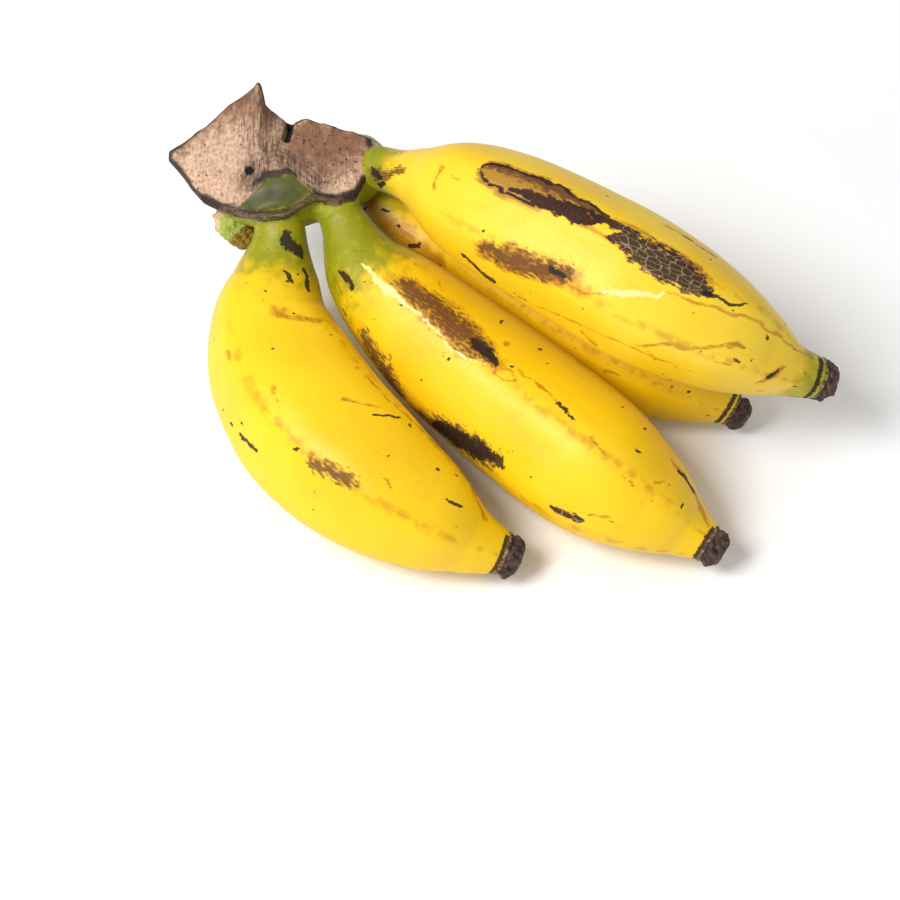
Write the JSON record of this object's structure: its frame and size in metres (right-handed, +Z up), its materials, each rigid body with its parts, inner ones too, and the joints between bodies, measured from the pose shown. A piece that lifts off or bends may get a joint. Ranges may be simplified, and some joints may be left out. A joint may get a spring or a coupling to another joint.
{
  "type": "hand of bananas",
  "caption": "Hand of short, plump ripe bananas joined at a cut crown, lying on their bellies, with spotted yellow peel, green necks and dark dried blossom ends",
  "frame": {"origin": "on the resting surface, under the middle of the hand's footprint", "axes": "+Z up, +X from the crown towards the fruits' tips, +Y towards the crown's back edge"},
  "size_m": [0.1644, 0.1136, 0.069],
  "materials": {
    "peel": "satin",
    "crown_tissue": "matte",
    "torn_tissue": "matte",
    "dried_flower": "matte"
  },
  "bodies": {
    "root": {"crown": "crown_tissue", "torn_pedicel": "torn_tissue", "finger_left": "peel", "blossom_end_left": "dried_flower", "finger_middle": "peel", "blossom_end_middle": "dried_flower", "finger_lower": "peel", "blossom_end_lower": "dried_flower", "finger_upper": "peel", "blossom_end_upper": "dried_flower"}
  },
  "joints": []
}
